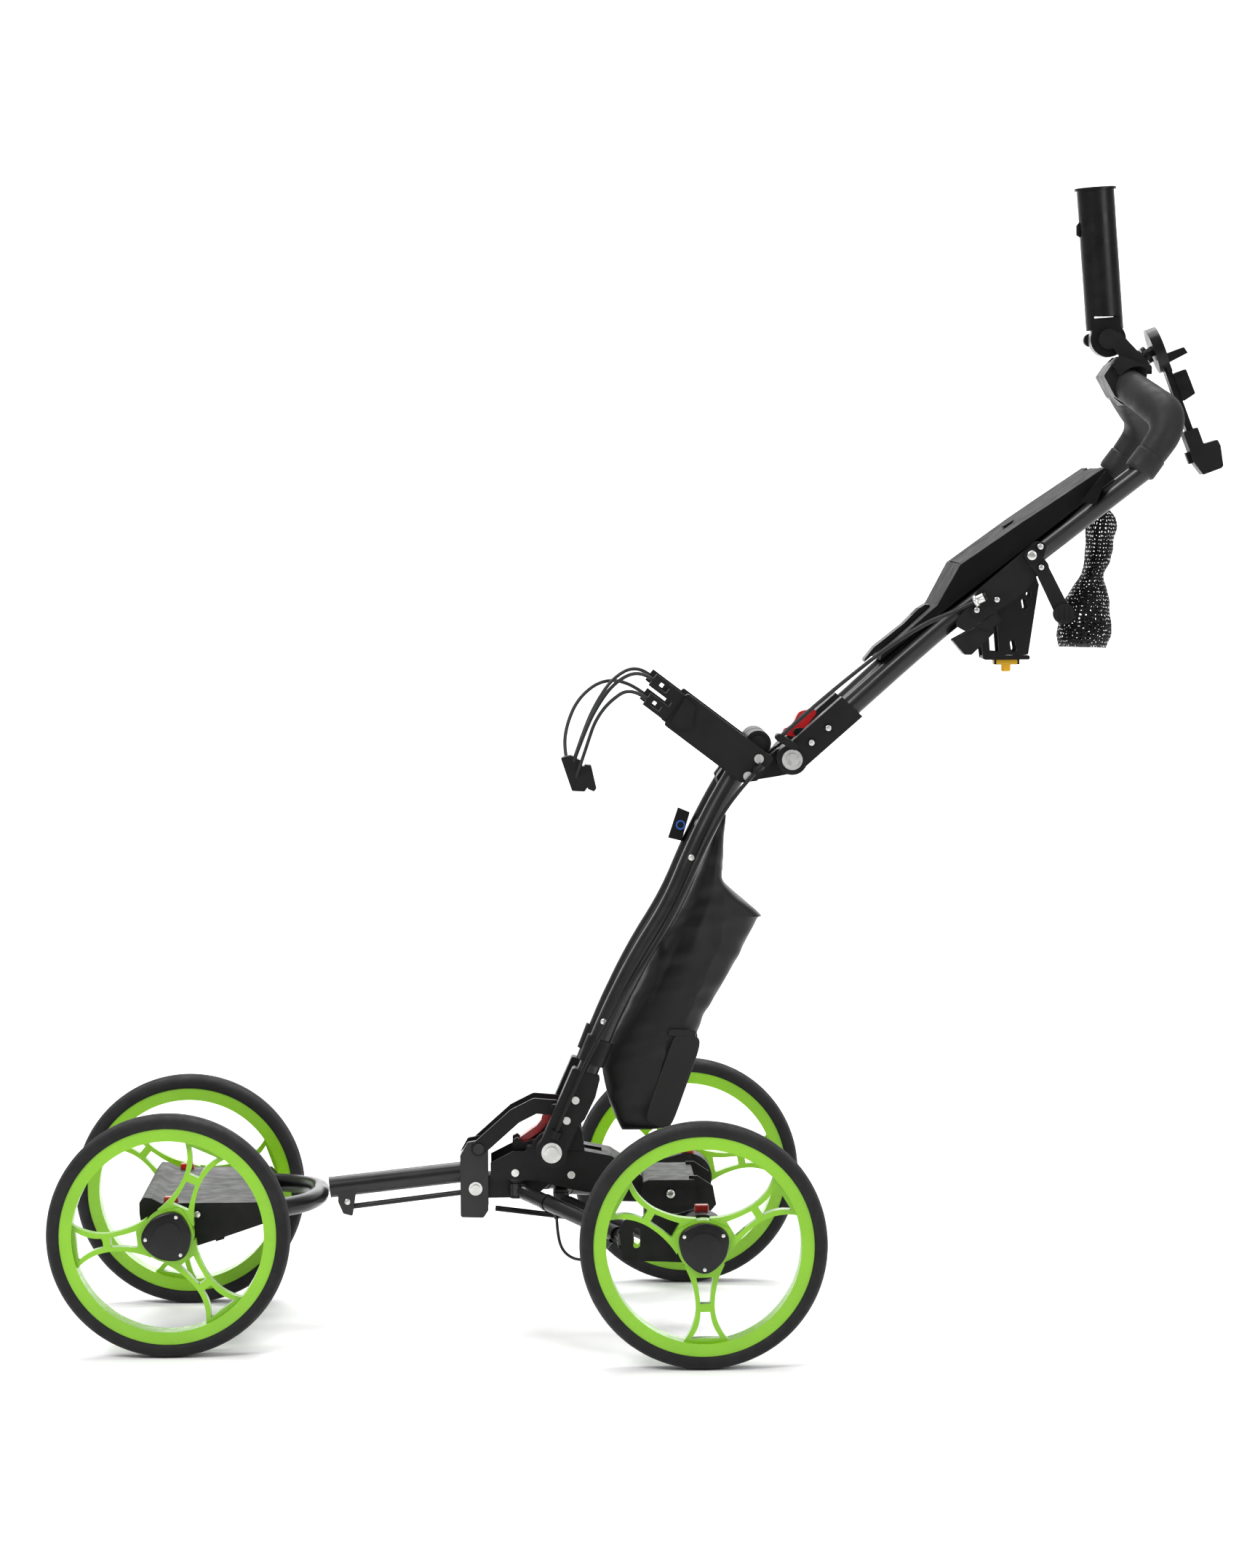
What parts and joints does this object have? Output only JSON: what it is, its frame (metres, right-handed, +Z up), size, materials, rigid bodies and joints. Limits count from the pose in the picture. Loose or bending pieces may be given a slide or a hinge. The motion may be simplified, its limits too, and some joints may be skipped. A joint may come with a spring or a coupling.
{
  "type": "golf push trolley",
  "caption": "Folding golf bag push trolley with lime spoked wheels, hinged tube frame, console, grip handle, umbrella and phone holders.",
  "frame": {"origin": "on the ground under the middle of the trolley's bounding box, unfolded for use", "axes": "-X is the way it rolls, +X is towards the person pushing, +Y is the trolley's right side, +Z is up"},
  "size_m": [1.379, 0.682, 1.3413],
  "materials": {
    "bag_fabric": "woven polyester",
    "black_paint": "satin powder coat",
    "black_plastic": "fine grain moulded plastic",
    "cable_black": "smooth sleeve",
    "elastic": "woven elastic",
    "grip_rubber": "soft matt grip",
    "lime_plastic": "glossy moulded plastic",
    "net_fabric": "open knitted net",
    "red_plastic": "satin moulded plastic",
    "steel": "bright zinc",
    "tyre_rubber": "satin foamed rubber"
  },
  "bodies": {
    "base": {"base_channel": "black_plastic", "hinge_casting": "black_plastic", "base_fasteners": "steel", "rear_beam": "black_plastic"},
    "strut_left": {"strut_left": "black_paint", "brake_cable_left": "cable_black"},
    "strut_right": {"strut_right": "black_paint", "brake_cable_right": "cable_black"},
    "link_left": {"strut_link_left": "black_paint"},
    "link_right": {"strut_link_right": "black_paint"},
    "carrier_left": {"wheel_carrier_left": "black_plastic"},
    "carrier_right": {"wheel_carrier_right": "black_plastic"},
    "button_rear_left": {"rear_button_left": "red_plastic"},
    "button_rear_right": {"rear_button_right": "red_plastic"},
    "wheel_rear_left": {"tyre_rear_left": "tyre_rubber", "rim_rear_left": "lime_plastic"},
    "wheel_rear_right": {"tyre_rear_right": "tyre_rubber", "rim_rear_right": "lime_plastic"},
    "front_frame": {"boom": "black_paint", "fork": "black_paint", "front_housing": "black_plastic"},
    "button_front_left": {"front_button_left": "red_plastic"},
    "button_front_right": {"front_button_right": "red_plastic"},
    "wheel_front_left": {"tyre_front_left": "tyre_rubber", "rim_front_left": "lime_plastic"},
    "wheel_front_right": {"tyre_front_right": "tyre_rubber", "rim_front_right": "lime_plastic"},
    "links": {"fold_links": "black_plastic"},
    "lower_frame": {"lower_tubes": "black_paint", "lower_sleeves": "black_plastic", "middle_bracket": "black_plastic", "strap_arms": "black_plastic", "strap_adjusters": "black_plastic", "frame_clips": "black_plastic", "storage_bag": "bag_fabric", "brake_cable_lower": "cable_black", "lower_fasteners": "steel", "bungee_upper_left": "elastic", "bungee_lower_left": "elastic", "bungee_upper_right": "elastic", "bungee_lower_right": "elastic", "bungee_hook": "black_plastic"},
    "lower_lock": {"lower_lock_lever": "red_plastic"},
    "upper_frame": {"upper_tubes": "black_paint", "upper_sleeves": "black_plastic", "console_tray": "black_plastic", "cradle_pad": "black_plastic", "brake_bracket": "black_plastic", "brake_cable_upper": "cable_black", "net_bag": "net_fabric", "handle_grip": "grip_rubber", "handle_console": "black_plastic"},
    "middle_lock": {"middle_lock_lever": "red_plastic"},
    "lid": {"console_lid": "black_plastic"},
    "brake": {"brake_lever": "black_plastic"},
    "cup": {"cup_holder": "black_plastic"},
    "umbrella": {"umbrella_tube": "black_plastic"},
    "knob": {"wing_knob": "black_plastic"},
    "phone": {"phone_arm": "black_plastic"},
    "jaw": {"phone_jaw": "black_plastic"}
  },
  "joints": [
    {"name": "lower_fold", "type": "hinge", "parent": "base", "child": "lower_frame", "pos_m": [-0.109, 0, 0.214], "axis": [0, -1, 0], "range_deg": [0, 90]},
    {"name": "boom_fold", "type": "hinge", "parent": "base", "child": "front_frame", "pos_m": [-0.199, 0, 0.166], "axis": [0, -1, 0], "range_deg": [0, 90]},
    {"name": "link_swing", "type": "hinge", "parent": "lower_frame", "child": "links", "pos_m": [-0.105, 0, 0.262], "axis": [0, -1, 0], "range_deg": [-90, 0]},
    {"name": "upper_fold", "type": "hinge", "parent": "lower_frame", "child": "upper_frame", "pos_m": [0.176, 0, 0.673], "axis": [0, 1, 0], "range_deg": [0, 100]},
    {"name": "lower_lock_tilt", "type": "hinge", "parent": "lower_frame", "child": "lower_lock", "pos_m": [-0.09232, 0, 0.2613], "axis": [0, 1, 0], "range_deg": [0, 20], "stiffness_Nm_per_rad": 0.5, "springref_deg": -17.19},
    {"name": "middle_lock_tilt", "type": "hinge", "parent": "upper_frame", "child": "middle_lock", "pos_m": [0.18381, 0, 0.70364], "axis": [0, 1, 0], "range_deg": [0, 25], "stiffness_Nm_per_rad": 0.5, "springref_deg": -17.19},
    {"name": "lid_open", "type": "hinge", "parent": "upper_frame", "child": "lid", "pos_m": [0.54068, 0, 1.00622], "axis": [0, 1, 0], "range_deg": [0, 95]},
    {"name": "brake_pull", "type": "hinge", "parent": "upper_frame", "child": "brake", "pos_m": [0.452, 0, 0.91003], "axis": [0, -1, 0], "range_deg": [0, 25]},
    {"name": "cup_swing", "type": "hinge", "parent": "upper_frame", "child": "cup", "pos_m": [0.4475, 0, 0.90296], "axis": [0, -1, 0], "range_deg": [-20, 12]},
    {"name": "umbrella_tilt", "type": "hinge", "parent": "upper_frame", "child": "umbrella", "pos_m": [0.554, 0, 1.1615], "axis": [0, 1, 0], "range_deg": [-40, 40]},
    {"name": "knob_turn", "type": "hinge", "parent": "upper_frame", "child": "knob", "pos_m": [0.554, 0.025, 1.1615], "axis": [0, 1, 0], "continuous": true},
    {"name": "phone_swivel", "type": "hinge", "parent": "upper_frame", "child": "phone", "pos_m": [0.598, 0, 1.141], "axis": [0.7986, 0, 0.6018], "range_deg": [-30, 30]},
    {"name": "jaw_slide", "type": "slide", "parent": "phone", "child": "jaw", "axis": [0.342, 0, -0.9397], "range_m": [0, 0.025]},
    {"name": "strut_swing_left", "type": "hinge", "parent": "base", "child": "strut_left", "pos_m": [-0.15, -0.04, 0.167], "axis": [0, 0, 1], "range_deg": [0, 30]},
    {"name": "link_swing_left", "type": "hinge", "parent": "base", "child": "link_left", "pos_m": [-0.098, -0.04, 0.156], "axis": [0, 0, 1], "range_deg": [0, 30]},
    {"name": "carrier_turn_left", "type": "hinge", "parent": "strut_left", "child": "carrier_left", "pos_m": [-0.026, -0.23, 0.135], "axis": [0, 0, 1], "range_deg": [-30, 0]},
    {"name": "wheel_rear_left", "type": "hinge", "parent": "carrier_left", "child": "wheel_rear_left", "pos_m": [0.06, -0.32, 0.14], "axis": [0, 1, 0], "continuous": true},
    {"name": "wheel_front_left", "type": "hinge", "parent": "front_frame", "child": "wheel_front_left", "pos_m": [-0.55, -0.198, 0.14], "axis": [0, 1, 0], "continuous": true},
    {"name": "button_rear_left", "type": "slide", "parent": "carrier_left", "child": "button_rear_left", "axis": [0, 0, -1], "range_m": [0, 0.003], "stiffness_N_per_m": 300, "springref_m": -0.002},
    {"name": "button_front_left", "type": "slide", "parent": "front_frame", "child": "button_front_left", "axis": [0, 0, -1], "range_m": [0, 0.003], "stiffness_N_per_m": 300, "springref_m": -0.002},
    {"name": "strut_swing_right", "type": "hinge", "parent": "base", "child": "strut_right", "pos_m": [-0.15, 0.04, 0.167], "axis": [0, 0, -1], "range_deg": [0, 30]},
    {"name": "link_swing_right", "type": "hinge", "parent": "base", "child": "link_right", "pos_m": [-0.098, 0.04, 0.156], "axis": [0, 0, -1], "range_deg": [0, 30]},
    {"name": "carrier_turn_right", "type": "hinge", "parent": "strut_right", "child": "carrier_right", "pos_m": [-0.026, 0.23, 0.135], "axis": [0, 0, -1], "range_deg": [-30, 0]},
    {"name": "wheel_rear_right", "type": "hinge", "parent": "carrier_right", "child": "wheel_rear_right", "pos_m": [0.06, 0.32, 0.14], "axis": [0, 1, 0], "continuous": true},
    {"name": "wheel_front_right", "type": "hinge", "parent": "front_frame", "child": "wheel_front_right", "pos_m": [-0.55, 0.198, 0.14], "axis": [0, 1, 0], "continuous": true},
    {"name": "button_rear_right", "type": "slide", "parent": "carrier_right", "child": "button_rear_right", "axis": [0, 0, -1], "range_m": [0, 0.003], "stiffness_N_per_m": 300, "springref_m": -0.002},
    {"name": "button_front_right", "type": "slide", "parent": "front_frame", "child": "button_front_right", "axis": [0, 0, -1], "range_m": [0, 0.003], "stiffness_N_per_m": 300, "springref_m": -0.002}
  ],
  "couplings": [
    {"joint": "boom_fold", "follows": "lower_fold", "ratio": 1},
    {"joint": "link_swing", "follows": "lower_fold", "ratio": -1},
    {"joint": "strut_swing_left", "follows": "lower_fold", "ratio": 0.33333},
    {"joint": "link_swing_left", "follows": "lower_fold", "ratio": 0.33333},
    {"joint": "carrier_turn_left", "follows": "lower_fold", "ratio": -0.33333},
    {"joint": "strut_swing_right", "follows": "lower_fold", "ratio": 0.33333},
    {"joint": "link_swing_right", "follows": "lower_fold", "ratio": 0.33333},
    {"joint": "carrier_turn_right", "follows": "lower_fold", "ratio": -0.33333}
  ]
}
